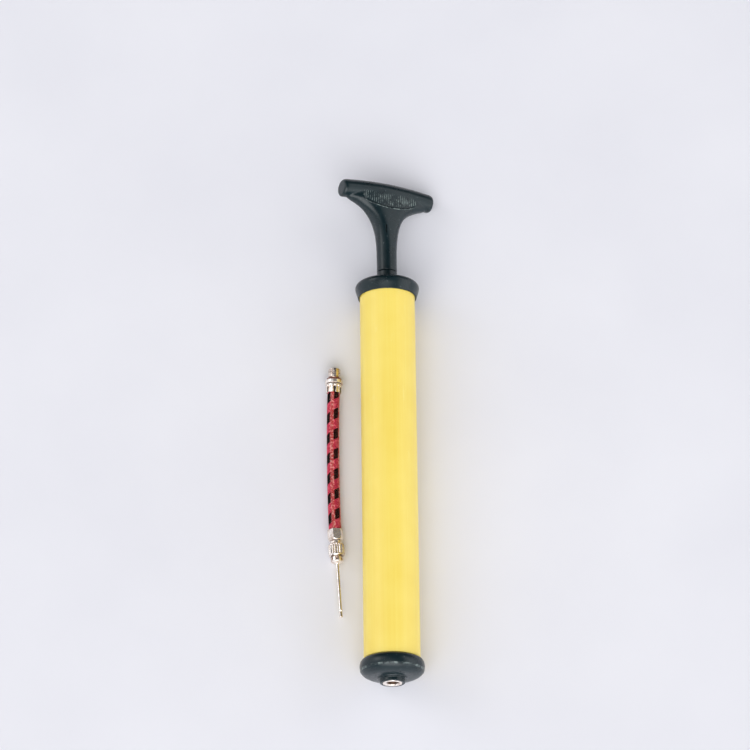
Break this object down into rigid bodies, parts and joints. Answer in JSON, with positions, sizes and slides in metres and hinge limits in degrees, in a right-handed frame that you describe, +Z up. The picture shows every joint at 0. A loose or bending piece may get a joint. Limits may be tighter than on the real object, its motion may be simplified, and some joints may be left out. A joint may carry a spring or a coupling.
{
  "type": "ball inflation pump",
  "caption": "Hand pump for inflating balls: a barrel with a T-handled plunger and a check-valved outlet, with a short braided hose and an inflating needle.",
  "frame": {"origin": "on the table, below the middle of the pump, which lies on its side (without the hose and what is on it)", "axes": "+Y along the pump, from its outlet to its handle; +Z up from the table"},
  "size_m": [0.0649, 0.3047, 0.0371],
  "materials": {
    "yellow_plastic": "satin, moulded",
    "black_plastic": "satin, moulded",
    "nickel_plate": "bright nickel",
    "chromed_rod": "polished",
    "bright_steel": "bright",
    "black_rubber": "matt",
    "red_rubber": "matt",
    "white_nylon": "satin",
    "braid": "braided red and black yarn"
  },
  "bodies": {
    "barrel": {"barrel": "yellow_plastic", "end_cap": "black_plastic", "end_cap_seal": "black_rubber", "outlet_insert": "nickel_plate", "valve_seat": "black_rubber", "valve_spring": "bright_steel", "collar": "black_plastic", "rod_bush": "white_nylon", "top_bumper": "black_rubber"},
    "piston": {"piston_body": "white_nylon"},
    "piston_ring": {"piston_ring": "black_rubber"},
    "plunger": {"plunger_rod": "chromed_rod", "rod_stud": "bright_steel", "upper_washer": "bright_steel", "lower_washer": "bright_steel", "piston_nut": "bright_steel", "t_handle": "black_plastic", "handle_pin": "bright_steel"},
    "valve_ball": {"valve_ball": "bright_steel"},
    "hose": {"hose_connector": "nickel_plate", "connector_gasket": "red_rubber", "connector_ferrule": "nickel_plate", "hose_braid": "braid", "hose_liner": "black_rubber", "needle_ferrule": "nickel_plate", "needle_adapter": "nickel_plate", "needle_gasket": "red_rubber"},
    "coupling_nut": {"coupling_nut": "nickel_plate"},
    "needle": {"needle_hub": "nickel_plate", "needle_tube": "bright_steel"}
  },
  "joints": [
    {"name": "stroke", "type": "slide", "parent": "barrel", "child": "piston", "axis": [0, 1, 0], "range_m": [0, 0.177]},
    {"name": "ring_float", "type": "slide", "parent": "piston", "child": "piston_ring", "axis": [0, 1, 0], "range_m": [-0.0011, 0]},
    {"name": "handle_spin", "type": "hinge", "parent": "piston", "child": "plunger", "pos_m": [0, 0, 0.01855], "axis": [0, 1, 0], "continuous": true},
    {"name": "valve_lift", "type": "slide", "parent": "barrel", "child": "valve_ball", "axis": [0, -1, 0], "range_m": [0, 0.002], "stiffness_N_per_m": 40, "springref_m": -0.003, "deforming": ["valve_spring"]},
    {"name": "hose_lift", "type": "slide", "parent": "barrel", "child": "hose", "axis": [0, 0, 1], "range_m": [0, 0.08]},
    {"name": "nut_turn", "type": "hinge", "parent": "hose", "child": "coupling_nut", "pos_m": [-0.03162, -0.0567, 0.00465], "axis": [-0.0576, 0.9983, 0], "range_deg": [0, 1440]},
    {"name": "needle_travel", "type": "slide", "parent": "hose", "child": "needle", "axis": [0.0576, -0.9983, 0], "range_m": [0, 0.0046]}
  ],
  "couplings": [
    {"joint": "nut_turn", "follows": "needle_travel", "rad_per_m": 5463.6}
  ]
}
